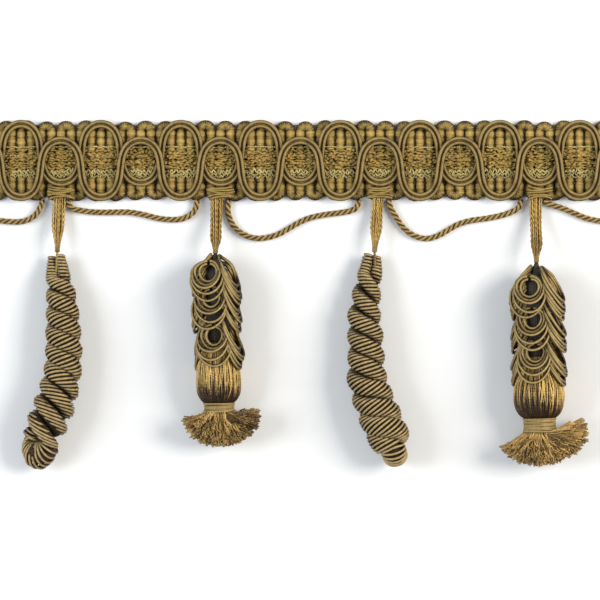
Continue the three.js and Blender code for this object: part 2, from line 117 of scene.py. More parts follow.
class Finish:
    """A material, put together from nodes round one surface shader."""

    def __init__(self, name, **surface):
        self.material = bpy.data.materials.new(name)
        self.material.use_nodes = True
        self.tree = self.material.node_tree
        self.surface = self.tree.nodes["Principled BSDF"]
        for socket, value in surface.items():
            self.surface.inputs[socket.replace("_", " ")].default_value = value

    def join(self, value, socket):
        if isinstance(value, Value):
            self.tree.links.new(value.socket, socket)
        else:
            socket.default_value = value

    def node(self, kind, settings, sockets, output=0):
        made = self.tree.nodes.new("ShaderNode" + kind)
        for setting, value in settings.items():
            setattr(made, setting, value)
        for socket, value in sockets.items():
            self.join(value, made.inputs[socket])
        return Value(self, made.outputs[output])

    def maths(self, operation, *values):
        return self.node("Math", {"operation": operation}, dict(enumerate(values)))

    def blend(self, share, start, end):
        """A colour between two others."""
        settings = {"data_type": "RGBA", "clamp_factor": True}
        factor, colour_a, colour_b, colour_out = 0, 6, 7, 2
        return self.node("Mix", settings, {factor: share, colour_a: start, colour_b: end}, colour_out)

    def mottle(self, scale, detail=2.0):
        """Soft patches of light and dark through the piece, from 0 to 1."""
        place = self.node("TexCoord", {}, {}, "Object")
        return self.node("TexNoise", {}, {"Vector": place, "Scale": scale, "Detail": detail}, "Fac")

    def wear(self, **sockets):
        for socket, value in sockets.items():
            self.join(value, self.surface.inputs[socket.replace("_", " ")])
        return self.material


bpy.ops.mesh.primitive_plane_add(size=TABLE_WIDTH, location=(0, 0, -TABLE_GAP))
table = bpy.context.object
table.name = "table"
bpy.ops.object.transform_apply(location=True, rotation=True, scale=True)
card = Finish("white_card", Roughness=0.9)
card_colour = card.blend(card.mottle(14.0), (TABLE_GREY,) * 3 + (1,), (TABLE_GREY + 0.02,) * 3 + (1,))
table.data.materials.append(card.wear(Base_Color=card_colour))

# The swagged cord: three plies of silky yarn laid up to the right, about 2 mm thick. It is sewn
# under the heading at each tassel and hangs in a loose curve between them. Both ends are cut.
CORD_PLY = 0.46
CORD_PLY_OUT = 0.50
CORD_LAY = 5.6
SWAG_ROUTES = {
    "swag_1": [
        (-73.1, -12.4, 1.2), (-72.9, -13.1, 1.1), (-72.4, -14.0, 1.0), (-71.2, -15.0, 1.0),
        (-68.6, -15.6, 1.0), (-63.8, -16.1, 1.0), (-58.5, -16.1, 1.0), (-53.6, -16.1, 1.0),
        (-49.4, -16.8, 1.0), (-45.0, -17.9, 1.0), (-41.0, -18.4, 1.0), (-37.2, -18.2, 1.0),
        (-34.6, -17.0, 1.0), (-33.0, -15.2, 1.0), (-32.4, -13.1, 1.1), (-32.3, -12.2, 1.2),
    ],
    "swag_2": [
        (-22.6, -12.3, 1.2), (-22.6, -13.1, 1.1), (-22.6, -16.4, 1.0), (-21.4, -19.6, 1.0),
        (-19.2, -22.1, 1.0), (-16.3, -23.7, 1.0), (-13.1, -24.3, 1.0), (-9.9, -23.9, 1.0),
        (-6.7, -22.9, 1.0), (-3.8, -21.3, 1.0), (-0.7, -19.5, 1.0), (2.9, -17.9, 1.0), (8.1, -16.8, 1.0),
        (12.1, -16.3, 1.0), (15.6, -15.7, 1.0), (17.5, -14.7, 1.0), (18.2, -13.1, 1.1), (18.3, -12.3, 1.2),
    ],
    "swag_3": [
        (27.7, -12.3, 1.2), (27.8, -13.1, 1.1), (28.5, -15.0, 1.0), (30.3, -18.1, 1.0), (32.3, -20.9, 1.0),
        (34.7, -22.9, 1.0), (37.5, -24.1, 1.0), (40.3, -24.3, 1.0), (43.5, -23.3, 1.0), (46.3, -21.7, 1.0),
        (49.5, -19.9, 1.0), (53.5, -18.7, 1.0), (58.5, -18.0, 1.0), (63.0, -17.1, 1.0), (66.5, -15.9, 1.0),
        (68.4, -14.6, 1.0), (69.0, -13.1, 1.1), (69.1, -12.3, 1.2),
    ],
    "swag_tail_left": [
        (-80.9, -12.4, 1.2), (-81.0, -13.1, 1.1), (-81.4, -14.1, 1.0), (-82.6, -16.4, 1.0),
        (-84.6, -18.1, 1.0), (-87.4, -19.0, 1.0), (-90.2, -19.1, 1.0), (-94.2, -18.7, 1.0),
        (-99.6, -17.9, 1.0),
    ],
    "swag_tail_right": [
        (76.4, -12.4, 1.2), (77.4, -13.1, 1.1), (79.6, -14.0, 1.0), (83.3, -15.3, 1.0), (86.9, -16.9, 1.0),
        (90.1, -18.1, 1.0), (93.7, -18.8, 1.0), (99.6, -19.5, 1.0),
    ],
}


def run_length(line):
    """How far each point of a line is from its start."""
    return np.concatenate([[0], np.cumsum(np.linalg.norm(np.diff(line, axis=0), axis=1))])


def evenly(line, spacing):
    """The same line with its points an even distance apart."""
    run = run_length(line)
    stops = np.linspace(0, run[-1], max(2, int(round(run[-1] / spacing)) + 1))
    return np.column_stack([np.interp(stops, run, line[:, axis]) for axis in range(line.shape[1])])


def smooth_line(points, spacing):
    """Evenly spaced points on one smooth curve through the given ones."""
    given = np.asarray(points, float)
    given = np.vstack([2 * given[0] - given[1], given, 2 * given[-1] - given[-2]])
    pieces = []
    for a, b, c, d in zip(given, given[1:], given[2:], given[3:]):
        k0, k1, k2, k3 = np.cumsum([0] + [np.linalg.norm(v[:3]) ** 0.5 for v in (b - a, c - b, d - c)])
        t = np.linspace(k1, k2, 24)[:, None]
        ab = a * (k1 - t) / (k1 - k0) + b * (t - k0) / (k1 - k0)
        bc = b * (k2 - t) / (k2 - k1) + c * (t - k1) / (k2 - k1)
        cd = c * (k3 - t) / (k3 - k2) + d * (t - k2) / (k3 - k2)
        abc = ab * (k2 - t) / (k2 - k0) + bc * (t - k0) / (k2 - k0)
        bcd = bc * (k3 - t) / (k3 - k1) + cd * (t - k1) / (k3 - k1)
        pieces.append(abc * (k2 - t) / (k2 - k1) + bcd * (t - k1) / (k2 - k1))
    joined = np.vstack([pieces[0]] + [piece[1:] for piece in pieces[1:]])
    return evenly(joined, spacing)


def directions(line):
    """The direction in which a line runs at each of its points."""
    ahead = np.gradient(line, axis=0)
    return ahead / np.linalg.norm(ahead, axis=1)[:, None]


def flat_sides(line):
    """For a line that lies on the table: its sideways and its upward direction at each point."""
    ahead = directions(line)
    aside = np.cross((0, 0, 1), ahead)
    aside /= np.linalg.norm(aside, axis=1)[:, None]
    return aside, np.cross(ahead, aside)


def carried_sides(line):
    """For a line that turns any way: two sides that go along it without turning round it."""
    ahead = directions(line)
    start = np.cross(ahead[0], (0.31, 0.17, 0.93))
    aside = [start / np.linalg.norm(start)]
    for i in range(1, len(line)):
        turned = aside[-1] - np.dot(aside[-1], ahead[i]) * ahead[i]
        aside.append(turned / np.linalg.norm(turned))
    aside = np.array(aside)
    return aside, np.cross(ahead, aside)


def thread(line, wide, high=None, corners=8, flat=False, shade=0.5, lit_toward=None):
    """A closed tube of thread along a line, painted lighter on the side that faces a given way and darker on
    the far side.
    """
    line = np.asarray(line, float)
    wide = np.broadcast_to(np.asarray(wide, float), len(line))
    high = wide if high is None else np.broadcast_to(np.asarray(high, float), len(line))
    aside, over = flat_sides(line) if flat else carried_sides(line)
    turn = 2 * np.pi * np.arange(corners) / corners
    ring = (
        line[:, None, :]
        + (wide[:, None] * np.cos(turn))[:, :, None] * aside[:, None, :]
        + (high[:, None] * np.sin(turn))[:, :, None] * over[:, None, :]
    )
    # Painted light: from 0 on the far side of the tube to 1 on the side that faces the given way.
    painted_light = np.full(ring.shape[:2], 0.5)
    if lit_toward is not None:
        out = ring - line[:, None, :]
        out = out / np.linalg.norm(out, axis=2)[:, :, None]
        lit_toward = np.broadcast_to(np.asarray(lit_toward, float), line.shape)
        lit_toward = lit_toward / np.linalg.norm(lit_toward, axis=1)[:, None]
        painted_light = 0.5 + 0.5 * np.einsum("rcx,rx->rc", out, lit_toward)
    return {"ring": ring, "run": run_length(line), "shade": shade, "painted_light": painted_light}


def sew(name, threads, finish, replaces=()):
    """One piece from many threads, in millimetres, with its finish and place in the trim."""
    points, loops, sizes, uv, shades, painted_light = [], [], [], [], [], []
    first = 0
    for t in threads:
        rings, corners = t["ring"].shape[:2]
        points.append(t["ring"].reshape(-1, 3))
        shades.append(np.full(rings * corners, t["shade"]))
        painted_light.append(t["painted_light"].ravel())
        r, c = np.meshgrid(np.arange(rings - 1), np.arange(corners), indexing="ij")
        r, c = r.ravel(), c.ravel()
        n = (c + 1) % corners
        quads = np.stack([r * corners + c, r * corners + n, (r + 1) * corners + n, (r + 1) * corners + c], 1)
        along = np.stack([t["run"][r], t["run"][r], t["run"][r + 1], t["run"][r + 1]], 1)
        around = np.stack([c, c + 1, c + 1, c], 1) / corners
        loops += [quads.ravel() + first]
        uv += [np.stack([along.ravel(), around.ravel()], 1)]
        ends = [np.arange(corners)[::-1], (rings - 1) * corners + np.arange(corners)]
        for end, distance in zip(ends, (t["run"][0], t["run"][-1])):
            loops += [end + first]
            uv += [np.stack([np.full(corners, distance), np.arange(corners) / corners], 1)]
        sizes += [np.full(len(r), 4), np.full(2, corners)]
        first += rings * corners
    loops, sizes, uv = np.concatenate(loops), np.concatenate(sizes), np.concatenate(uv)
    starts = np.concatenate([[0], np.cumsum(sizes)[:-1]])
    mesh = bpy.data.meshes.new(name)
    mesh.vertices.add(first)
    mesh.vertices.foreach_set("co", (np.concatenate(points) * MM).ravel())
    mesh.loops.add(len(loops))
    mesh.loops.foreach_set("vertex_index", loops)
    mesh.polygons.add(len(sizes))
    mesh.polygons.foreach_set("loop_start", starts)
    mesh.uv_layers.new(name="thread").data.foreach_set("uv", uv.ravel())
    mesh.attributes.new("shade", "FLOAT", "POINT").data.foreach_set("value", np.concatenate(shades))
    mesh.attributes.new("painted_light", "FLOAT", "POINT").data.foreach_set("value", np.concatenate(painted_light))
    mesh.update(calc_edges=True)
    mesh.polygons.foreach_set("use_smooth", np.full(len(sizes), True))
    mesh.validate()
    piece = bpy.data.objects.new(name, mesh)
    bpy.context.scene.collection.objects.link(piece)
    return fit(piece, finish, replaces)


def fit(piece, finish, replaces=()):
    """Gives a piece its finish and its place in the trim."""
    piece.data.materials.append(finish)
    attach(piece, "root")
    if replaces:
        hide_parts(*replaces)
    return piece


def yarn_finish(
    name, light, deep, turn, lean, gloss, lit_side_gain=1.0, edge=0.80, metal=0.15, depth=0.06, patch=700.0
):
    """Silky yarn: fine threads that wrap or twist round it, with painted light on the side that faces the
    light and painted shade on the far side and in the grooves between wraps.
    """
    yarn = Finish(name, Metallic=metal, Specular_IOR_Level=0.4, Specular_Tint=(1.0, 0.86, 0.62, 1))
    mapped = yarn.node("UVMap", {"uv_map": "thread"}, {})
    along = yarn.node("SeparateXYZ", {}, {"Vector": mapped}, "X")
    around = yarn.node("SeparateXYZ", {}, {"Vector": mapped}, "Y")
    coil = along / turn + around * lean
    ridge = abs(yarn.maths("SINE", coil * math.pi))
    each = yarn.node("TexWhiteNoise", {"noise_dimensions": "1D"}, {"W": yarn.maths("FLOOR", coil)}, "Value")
    shade = yarn.node("Attribute", {"attribute_name": "shade"}, {}, "Fac")
    painted_light = yarn.node("Attribute", {"attribute_name": "painted_light"}, {}, "Fac")
    mottle = yarn.mottle(patch)
    # Colour: painted shade in the grooves between wraps, random tone by wrap, patch and thread, and painted
    # light by side.
    light_share = ridge * 0.3 + each * 0.2 + mottle * 0.7 + shade * 0.5 + (painted_light - edge) * lit_side_gain - 0.30
    relief = ridge + each * 0.3 + mottle * 0.4
    bump = {"Strength": 0.8, "Distance": depth * MM, "Height": relief}
    return yarn.wear(
        Base_Color=yarn.blend(light_share, deep, light),
        Roughness=gloss + 0.18 * each + 0.12 * (1 - ridge),
        Normal=yarn.node("Bump", {}, bump, "Normal"),
    )


cord_finish = yarn_finish(
    "cord_yarn", (0.43, 0.28, 0.095, 1), (0.05, 0.028, 0.009, 1), 0.62, 3.0, 0.36, lit_side_gain=2.2, edge=0.84
)


def laid_cord(route):
    """Three plies round the line of a cord, each with its own slightly different shade, painted lighter on
    its outer side and darker where the plies meet.
    """
    line = smooth_line(route, 0.3)
    aside, over = flat_sides(line)
    run = run_length(line)
    plies = []
    for k in range(3):
        turn = 2 * np.pi * (k / 3 - run / CORD_LAY)
        ply = line + CORD_PLY_OUT * (np.cos(turn)[:, None] * aside + np.sin(turn)[:, None] * over)
        plies.append(thread(ply, CORD_PLY, corners=9, shade=0.4 + 0.1 * k, lit_toward=ply - line))
    return plies


for name, route in SWAG_ROUTES.items():
    piece = sew(name.replace("swag", "cord"), laid_cord(route), cord_finish, [name])
    if "tail" in name:
        continue

# The ground of the heading: a fat wrapped weft goes up and down the band and turns back in a
# picot at each edge. Warps hold it: rows of chenille in the middle, a pale zigzag and fine lines.
BAND_LENGTH = 200.0
BAND_HEIGHT = 25.6
RIB_PITCH = 3.125
RIB_HALF = 1.58
RIB_THICK = 0.80
RIB_MIDDLE = 1.14
RIB_WRAP = 0.45
NOTCH_PITCH = 2.35
NOTCH_Y = 9.7
RIBS_A_SIDE = 31
PICOT_HALF = 1.5
CLOTH_HEIGHT = 22.6
CLOTH_THICK = 0.9
WEAVE_PITCH = 0.9

bpy.ops.mesh.primitive_cube_add(size=1.0, location=(0, 0, CLOTH_THICK / 2 * MM))
cloth = bpy.context.object
cloth.name = "ground_cloth"
bpy.ops.transform.resize(value=(BAND_LENGTH * MM, CLOTH_HEIGHT * MM, CLOTH_THICK * MM))
bpy.ops.object.transform_apply(location=True, rotation=True, scale=True)
bpy.ops.object.mode_set(mode="EDIT")
bpy.ops.mesh.select_all(action="SELECT")
bpy.ops.mesh.bevel(offset=0.25 * MM, segments=2)
bpy.ops.object.mode_set(mode="OBJECT")
bpy.ops.object.shade_smooth_by_angle(angle=math.radians(40))
# The ground's weave pattern is its own. Its very dark colour is painted shade for the gaps between the ribs.
weave = Finish("ground_weave", Sheen_Weight=0.2)
weave_place = weave.node("TexCoord", {}, {}, "Object")
weave_x = weave.node("SeparateXYZ", {}, {"Vector": weave_place}, "X")
weave_y = weave.node("SeparateXYZ", {}, {"Vector": weave_place}, "Y")
weave_turn = 2 * math.pi / (WEAVE_PITCH * MM)
crossing = weave.maths("SINE", weave_x * weave_turn) * weave.maths("SINE", weave_y * weave_turn)
weave_share = 0.5 + 0.3 * crossing + 0.4 * (weave.mottle(500.0) - 0.5)
weave.wear(
    Base_Color=weave.blend(weave_share, (0.035, 0.023, 0.009, 1), (0.15, 0.10, 0.036, 1)),
    Roughness=0.7 + 0.2 * crossing,
    Normal=weave.node("Bump", {}, {"Strength": 0.9, "Distance": 0.1 * MM, "Height": crossing}, "Normal"),
)
fit(cloth, weave.material, ["heading_ground"])


def ease(value, start, end):
    """From 0 at the start to 1 at the end, slow at both."""
    share = np.clip((value - start) / (end - start), 0, 1)
    return share * share * (3 - 2 * share)


# The weft, rib by rib: down an odd rib, round under the next, up it and round over the one after.
wiggle = np.random.default_rng(5)
turn_radius = RIB_PITCH / 2
turn_y = BAND_HEIGHT / 2 - PICOT_HALF - turn_radius
weft = []
for rib in range(-RIBS_A_SIDE, RIBS_A_SIDE + 1):
    x = rib * RIB_PITCH
    side = 1 if rib % 2 else -1
    reach = turn_y + wiggle.uniform(-0.45, 0.12)
    last = turn_y - 0.2 if rib == -RIBS_A_SIDE else weft[-1][1] * side
    heights = np.linspace(side * abs(last), -side * reach, 9)
    weft += [(x + wiggle.uniform(-0.06, 0.06), y, RIB_MIDDLE) for y in heights]
    if rib < RIBS_A_SIDE:
        for angle in np.linspace(0, np.pi, 7)[1:-1]:
            picot_y = reach + turn_radius * math.sin(angle)
            weft.append((x + turn_radius * (1 - math.cos(angle)), -side * picot_y, RIB_MIDDLE))
weft = smooth_line(weft, 0.25)
swell = np.abs(np.sin(np.pi * (weft[:, 1] - NOTCH_Y + 0.25 * np.sin(weft[:, 0])) / NOTCH_PITCH)) ** 0.6
wander = np.interp(run_length(weft), np.arange(0, 2400, 2.0), wiggle.uniform(0.88, 1.05, 1200))
rib_finish = yarn_finish(
    "weft_yarn", (0.60, 0.40, 0.11, 1), (0.030, 0.018, 0.007, 1), RIB_WRAP, 0.0, 0.42,
    lit_side_gain=2.4, edge=0.87, depth=0.08, patch=900.0,
)
rib_wide = RIB_HALF * wander * (0.80 + 0.20 * swell)
rib_high = RIB_THICK * wander * (0.55 + 0.45 * swell)
ribs = thread(weft, rib_wide, rib_high, flat=True, lit_toward=(0, 0, 1))
# Painted light on the ribs: lighter on top, darker towards the picots at both edges and where the ribs thin
# at the notches.
edge_dusk = 0.17 * ease(np.abs(weft[:, 1]), 8.6, 10.8)
ribs["painted_light"] = ribs["painted_light"] ** 0.6 * (1 - edge_dusk - 0.12 * (1 - swell))[:, None]
sew("weft_ribs", [ribs], rib_finish)


def warp(y, middle, radius, bead, pitch=1.04, shift=0.0, swing=0.0, swing_pitch=1.56, shade=0.5, rough=0.0):
    """A warp along the band that rides over the ribs, with beads or a zigzag where it has them."""
    x = np.arange(-BAND_LENGTH / 2, BAND_LENGTH / 2 + 0.01, 0.24)
    drift = np.interp(x, np.arange(-104, 108, 4.0), wiggle.uniform(-0.12, 0.12, 53))
    jog = np.interp(x, np.arange(-104, 104, 0.8), wiggle.normal(0, 1, 260))
    over = middle + 0.14 * np.cos(2 * np.pi * x / RIB_PITCH) + 0.10 * rough * jog
    sway = swing * np.sin(2 * np.pi * (x + 0.25 * rough * jog) / swing_pitch + shift)
    sway *= 1 + 0.5 * rough * jog
    beads = 1 - bead + bead * np.abs(np.cos(np.pi * (x / pitch + shift)))
    beads *= 1 + 0.28 * rough * np.interp(x, np.arange(-104, 104, 0.6), wiggle.normal(0, 1, 347))
    line = np.column_stack([x, y + drift + 0.14 * rough * jog + sway, over])
    thick = radius * np.maximum(beads, 0.35)
    # Painted light on the warp's upper side.
    return thread(line, thick, corners=6, flat=True, shade=shade, lit_toward=(0, 0, 1))


chenille_finish = yarn_finish(
    "chenille", (0.50, 0.325, 0.085, 1), (0.026, 0.015, 0.006, 1), 0.35, 2.0, 0.6,
    lit_side_gain=2.0, edge=0.84, metal=0.0, patch=1000.0,
)
CHENILLE_TOP = 3.1
CHENILLE_END = -2.5
ROW_PITCH = 0.76
ROW_MIDDLE = 1.83
ROW_RADIUS = 0.48
rows = []
for i, y in enumerate(np.arange(CHENILLE_TOP, CHENILLE_END, -ROW_PITCH)):
    shade = 0.30 + 0.16 * (i % 3)
    row = warp(y, ROW_MIDDLE, ROW_RADIUS, bead=0.5, pitch=1.3, shift=0.5 * (i % 2), shade=shade, rough=1.7)
    rows.append(row)
sew("chenille_warps", rows, chenille_finish)

pale_finish = yarn_finish(
    "pale_warp", (0.60, 0.48, 0.19, 1), (0.07, 0.048, 0.018, 1), 0.5, 2.0, 0.4, lit_side_gain=1.4, patch=1200.0
)
pale = [
    warp(4.35, 2.0, 0.30, bead=0.6, pitch=0.78, shade=0.6, rough=0.8),
    warp(-3.3, 1.98, 0.34, bead=0.3, swing=0.42, swing_pitch=1.45, shade=0.7, rough=1.0),
    warp(-4.15, 1.98, 0.32, bead=0.3, swing=0.4, swing_pitch=1.30, shift=1.0, shade=0.45, rough=1.0),
    warp(-4.95, 1.98, 0.30, bead=0.3, swing=0.35, swing_pitch=1.55, shift=2.1, shade=0.3, rough=1.0),
]
sew("pale_warps", pale, pale_finish)

# The gimp cords: two pairs, each cord a core wrapped in fine silk, sewn to the ground in waves that
# cross as tall ovals and small circles. The upper pair climbs over the lower. A dark strip under each
# pair is painted shade in the gap between its cords.
GIMP_RADIUS = 0.56
PAIR_OUT = 0.71
CIRCLE_PITCH = 25.0
GIMP_BED = 2.3
GIMP_CLIMB = 1.45
CORD_SHADE_DEEP = 1.0
CORD_SHADE_HALF = 0.42
GIMP_END = 99.9
WAVES = {
    "low": {"circle_y": -6.8, "oval_y": 11.6, "climb": 0.0},
    "high": {"circle_y": 6.4, "oval_y": -11.35, "climb": GIMP_CLIMB},
}

gimp_finish = yarn_finish(
    "gimp_cord", (0.33, 0.225, 0.078, 1), (0.024, 0.014, 0.006, 1), 0.34, 1.0, 0.36,
    lit_side_gain=3.4, edge=0.88, depth=0.05,
)
for name, wave in WAVES.items():
    phase = np.linspace(-8 * np.pi, 8 * np.pi, 4001)
    x = CIRCLE_PITCH * phase / (2 * np.pi) + 1.5 * np.sin(2 * phase) + 0.1 * np.sin(phase)
    middle = (wave["circle_y"] + wave["oval_y"]) / 2
    y = middle + (wave["circle_y"] - wave["oval_y"]) / 2 * np.cos(phase)
    turn = np.degrees(phase) % 360
    turn = np.minimum(turn, 360 - turn)
    rise = ease(turn, 8, 42) * (1 - ease(turn, 108, 146))
    line = np.column_stack([x, y, GIMP_BED + GIMP_RADIUS + wave["climb"] * rise])
    aside, _ = flat_sides(line)
    cords = []
    for out, shade in ((-PAIR_OUT, 0.45), (PAIR_OUT, 0.55)):
        cord_line = evenly(line + out * aside, 0.6)
        cord_line = cord_line[np.abs(cord_line[:, 0]) < GIMP_END]
        # Painted light on each cord's upper side.
        cords.append(thread(cord_line, GIMP_RADIUS, corners=10, flat=True, shade=shade, lit_toward=(0, 0, 1)))
    # A dark strip under the pair: painted shade between and under its two cords.
    under = evenly(line - (0, 0, CORD_SHADE_DEEP), 0.6)
    under = under[np.abs(under[:, 0]) < GIMP_END]
    cords.append(thread(under, CORD_SHADE_HALF, CORD_SHADE_DEEP, corners=6, flat=True, shade=-0.4, lit_toward=(0, 0, 1)))
    sew(f"gimp_cords_{name}", cords, gimp_finish, [f"gimp_wave_{name}"])

# The ties: a few turns of floss drawn tight round the root of each tassel and through the ground,
# lying side by side as flat ovals on the heading's lower edge.
TIE_X = {1: -75.0, 2: -25.0, 3: 25.0, 4: 75.0}
TIE_TOP = -8.7
TIE_END = -11.5
TIE_TURN = 0.62
TIE_HALF = 4.3
TIE_MIDDLE = 3.0
TIE_DEEP = 0.6
tie_finish = yarn_finish(
    "tie_floss", (0.36, 0.245, 0.078, 1), (0.035, 0.021, 0.008, 1), 0.8, 2.0, 0.38, lit_side_gain=1.8
)
knots = np.random.default_rng(23)
for number, middle in TIE_X.items():
    turns = []
    angle = np.linspace(0, 2 * np.pi, 37)
    for y in np.arange(TIE_TOP, TIE_END, -TIE_TURN):
        y += knots.uniform(-0.12, 0.12)
        half = TIE_HALF - 0.5 * abs(y + 9.9) + knots.uniform(-0.6, 0.1)
        lean = knots.uniform(-0.12, 0.12)
        squash = np.sign(np.cos(angle)) * np.abs(np.cos(angle)) ** 0.8
        sag = 0.9 * knots.uniform(0.3, 1.0) * np.cos(angle) ** 2 * np.sign(y + 10.4)
        height = TIE_MIDDLE + TIE_DEEP * np.sin(angle)
        oval = np.column_stack([middle + half * squash, y + lean * half * squash + sag, height])
        lumps = 1 + 0.22 * np.sin(angle * knots.integers(5, 9) + knots.uniform(0, 6))
        thick = knots.uniform(0.32, 0.40) * lumps
        # Painted light on each turn's upper side.
        turns.append(thread(oval, thick, corners=7, shade=knots.uniform(0.25, 0.7), lit_toward=(0, 0, 1)))
    sew(f"tie_turns_{number}", turns, tie_finish, [f"tie_{number}"])

# The hangers: a hank of crimped floss from under each tie to the tassel below it, flat and open at
# the top and pinched where it goes into the tassel. On a drop it runs on down between the plies.
HANGERS = {
    1: {"root": (-75.6, 2.0), "head": (-76.1, -28.6, 5.2), "pinch_from": 0.55, "tail": (-76.6, -36.5, 4.4)},
    2: {"root": (-26.3, 2.0), "head": (-26.6, -29.0, 6.9), "pinch_from": 0.72, "tail": (-26.6, -31.5, 6.2)},
    3: {"root": (24.4, 2.0), "head": (23.2, -28.6, 5.0), "pinch_from": 0.55, "tail": (23.6, -35.6, 4.9)},
    4: {"root": (73.7, 2.0), "head": (73.8, -31.8, 7.8), "pinch_from": 0.72, "tail": (73.8, -34.5, 7.0)},
}
HANK_TOP = -10.0
HANK_HALF = 1.86
HANK_DEEP = 0.95
HANK_PINCHED = 0.66
GOLDEN_TURN = 2.39996
STRANDS = 24
STRAND_POINTS = 56
STRAND_RADIUS = 0.24
CRIMP = 0.10
CRIMP_PITCH = 1.7
HELD_STRANDS = 4
floss_finish = yarn_finish(
    "floss", (0.62, 0.40, 0.115, 1), (0.09, 0.05, 0.015, 1), 0.8, 2.0, 0.3, lit_side_gain=1.2, metal=0.2
)
hair = np.random.default_rng(37)
for number, hank in HANGERS.items():
    strands = []
    share = np.linspace(0, 1, STRAND_POINTS)
    pinch = ease(share, hank["pinch_from"], 0.96)
    wide = HANK_HALF + (HANK_PINCHED - HANK_HALF) * pinch
    deep = HANK_DEEP + (HANK_PINCHED - HANK_DEEP) * pinch
    x = hank["root"][0] + (hank["head"][0] - hank["root"][0]) * share
    y = HANK_TOP + (hank["head"][1] - HANK_TOP) * share
    z = hank["root"][1] + (hank["head"][2] - hank["root"][1]) * ease(share, 0.15, 1.0)
    tail = np.linspace(hank["head"], hank["tail"], 7)[1:]
    for k in range(STRANDS):
        angle = k * GOLDEN_TURN
        out = math.sqrt((k + 0.5) / STRANDS)
        sway = 0.13 * np.sin(share * hair.uniform(3, 8) + hair.uniform(0, 6)) * (1 - pinch)
        lift = 0.12 * np.sin(share * hair.uniform(3, 8) + hair.uniform(0, 6)) * (1 - pinch)
        side, height = out * math.cos(angle), out * math.sin(angle)
        kink = 2 * np.pi * share * (y[0] - y[-1]) / CRIMP_PITCH + hair.uniform(0, 6)
        sway += CRIMP * np.sin(kink) * (1 - 0.8 * pinch)
        lift += CRIMP * np.cos(kink) * (1 - 0.8 * pinch)
        free = np.column_stack([x + wide * side + sway, y, z + deep * height + lift])
        held = tail + np.outer(np.linspace(1, 0.5, 6), (wide[-1] * side, 0, deep[-1] * height))
        line = np.vstack([free, held]) if k < HELD_STRANDS else free
        # Painted light on each strand's upper side, turned down where the hank nears the tassel.
        strand = thread(line, STRAND_RADIUS, corners=5, shade=hair.uniform(0.1, 0.85), lit_toward=(0, 0, 1))
        strand["painted_light"] *= (1 - 0.32 * ease(strand["run"], 14.5, 18.5))[:, None]
        strands.append(strand)
    sew(f"hanger_floss_{number}", strands, floss_finish, [f"hanger_{number}"])

# The twisted drops: gimp wound close into a long coil, which is folded in two and turned round
# itself, so that two flattened plies of rings cross the front from upper left to lower right. A dark
# tube inside each ply is painted shade for the hollow of the coil.
DROP_GIMP = 0.5
RING_STEP = 1.04
RING_POINTS = 22
PLY_OUT = 0.48
PLY_DEEP = 0.515
FOLD_STEP = 1.15
DROPS = {
    1: {
        "axis": [
            (-76.4, -29.9, 3.1), (-76.1, -33.2, 3.6), (-75.8, -36.6, 4.1), (-75.1, -40.5, 4.7),
            (-74.5, -46.7, 5.4), (-74.2, -53.0, 5.8), (-74.0, -59.3, 6.0), (-74.2, -64.9, 6.1),
            (-75.1, -70.0, 6.4), (-76.4, -74.7, 6.7), (-77.9, -79.1, 6.9), (-79.6, -83.4, 6.7),
            (-81.4, -87.5, 6.0),
        ],
        "straight": 6.4, "half_turns": 9.0, "top_angle": 220.0, "fold_tilt": 55.0,
        "widths": (0.58, 0.58, 0.66),
        "leans": ((0, 0), (5, 0), (12, 28), (36, 28), (44, 10), (56, -4), (60, 0)),
        "fold_reach": (
            (0, 6.6), (30, 7.3), (52, 8.6), (68, 9.7), (84, 9.2), (100, 7.6), (120, 6.4), (150, 5.3),
            (180, 4.8),
        ),
    },
    3: {
        "axis": [
            (22.4, -29.6, 3.1), (22.2, -33.2, 3.6), (21.4, -37.8, 4.4), (20.7, -42.0, 4.8),
            (20.0, -49.3, 5.5), (20.4, -56.0, 5.9), (20.6, -62.2, 6.1), (20.9, -68.4, 6.5),
            (22.6, -74.0, 6.7), (24.8, -79.7, 6.9), (27.0, -84.9, 7.0), (28.6, -89.3, 6.5),
        ],
        "straight": 6.0, "half_turns": 8.5, "top_angle": 150.0, "fold_tilt": 0.0,
        "widths": (0.58, 0.58, 0.62),
        "leans": ((0, 0), (4.5, 0), (10, 16), (30, 22), (60, 20), (63, 0)),
        "fold_reach": ((0, 6.5), (60, 6.7), (90, 6.9), (120, 6.5), (180, 6.0)),
    },
}
drop_finish = yarn_finish(
    "coiled_gimp", (0.47, 0.335, 0.155, 1), (0.026, 0.016, 0.007, 1), 0.36, 1.0, 0.36,
    lit_side_gain=4.0, edge=0.90, depth=0.04,
)
# Dark yarn for the tube inside each coil: painted shade for its hollow.
coil_shade_finish = yarn_finish(
    "coil_shade_cord", (0.09, 0.058, 0.026, 1), (0.016, 0.010, 0.005, 1), 0.9, 2.0, 0.7, metal=0.0
)
